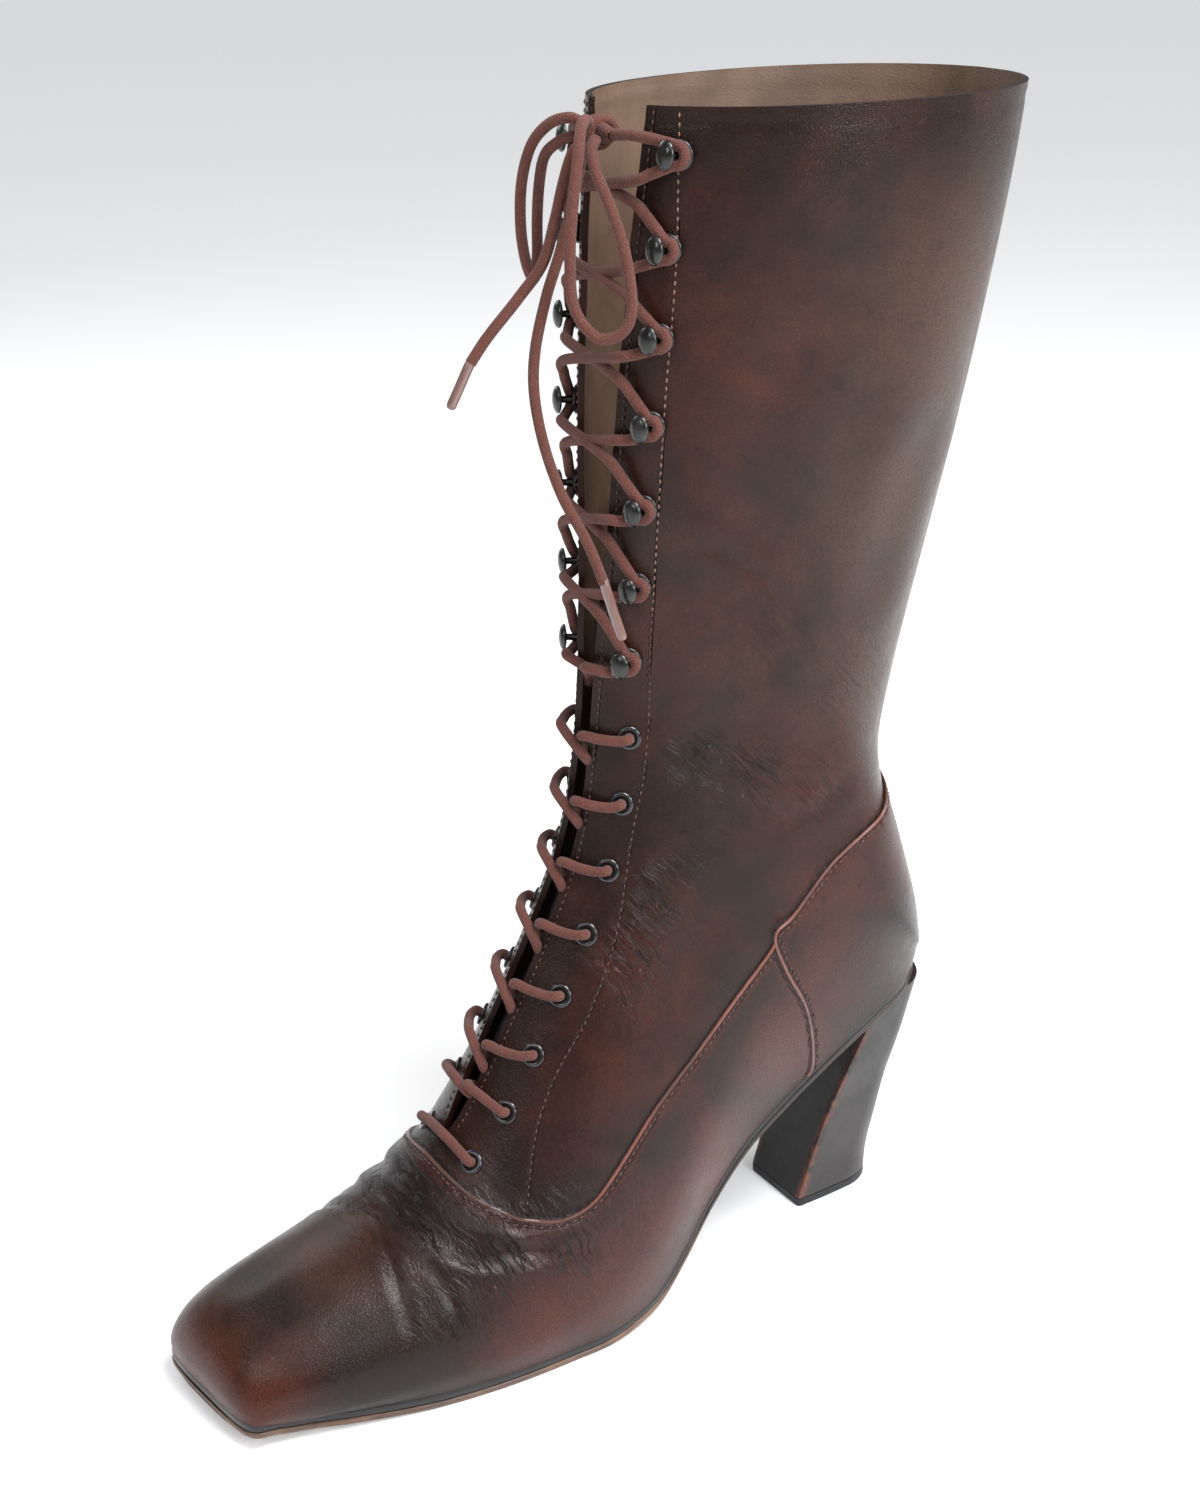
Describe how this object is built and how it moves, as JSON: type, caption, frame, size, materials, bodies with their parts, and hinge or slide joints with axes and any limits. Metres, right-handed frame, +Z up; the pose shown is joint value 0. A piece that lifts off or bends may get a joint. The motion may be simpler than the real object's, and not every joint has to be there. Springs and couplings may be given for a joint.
{
  "type": "lace-up heeled boot",
  "caption": "Woman's left calf-high lace-up boot in leather with a square toe, a high block heel, a laced throat with eyelets and hooks, and a tongue.",
  "frame": {"origin": "centre of the heel's ground face, on the floor plane", "axes": "+Z up along the shaft, +X towards the toe, +Y towards the outer side of the foot"},
  "size_m": [0.2738, 0.1025, 0.3523],
  "materials": {
    "upper": "glossy dark oxblood brown grained leather",
    "tongue": "soft dark brown leather",
    "insole": "matte tan leather sock",
    "welt": "black edge-dressed rand",
    "outsole": "worn tan-brown sole leather",
    "heel_block": "charcoal covered heel, satin",
    "top_lift": "black heel tip",
    "eyelet": "black gloss enamel",
    "hook": "gunmetal gloss",
    "lace": "terracotta braided cotton",
    "aglet": "clear pinkish plastic"
  },
  "bodies": {
    "root": {"upper": "upper", "tongue": "tongue", "insole": "insole", "welt": "welt", "outsole": "outsole", "heel_block": "heel_block", "top_lift": "top_lift", "eyelet_outer_1": "eyelet", "eyelet_outer_2": "eyelet", "eyelet_outer_3": "eyelet", "eyelet_outer_4": "eyelet", "eyelet_outer_5": "eyelet", "eyelet_outer_6": "eyelet", "eyelet_outer_7": "eyelet", "eyelet_outer_8": "eyelet", "hook_outer_1": "hook", "hook_outer_2": "hook", "hook_outer_3": "hook", "hook_outer_4": "hook", "hook_outer_5": "hook", "hook_outer_6": "hook", "hook_outer_7": "hook", "eyelet_inner_1": "eyelet", "eyelet_inner_2": "eyelet", "eyelet_inner_3": "eyelet", "eyelet_inner_4": "eyelet", "eyelet_inner_5": "eyelet", "eyelet_inner_6": "eyelet", "eyelet_inner_7": "eyelet", "eyelet_inner_8": "eyelet", "hook_inner_1": "hook", "hook_inner_2": "hook", "hook_inner_3": "hook", "hook_inner_4": "hook", "hook_inner_5": "hook", "hook_inner_6": "hook", "hook_inner_7": "hook", "lace_crossing_1": "lace", "lace_crossing_2": "lace", "lace_crossing_3": "lace", "lace_crossing_4": "lace", "lace_crossing_5": "lace", "lace_crossing_6": "lace", "lace_crossing_7": "lace", "lace_bar": "lace", "lace_hooks": "lace", "lace_knot": "lace", "lace_loop_outer": "lace", "lace_loop_inner": "lace", "lace_end_long": "lace", "lace_end_short": "lace", "aglet_long": "aglet", "aglet_short": "aglet"}
  },
  "joints": []
}
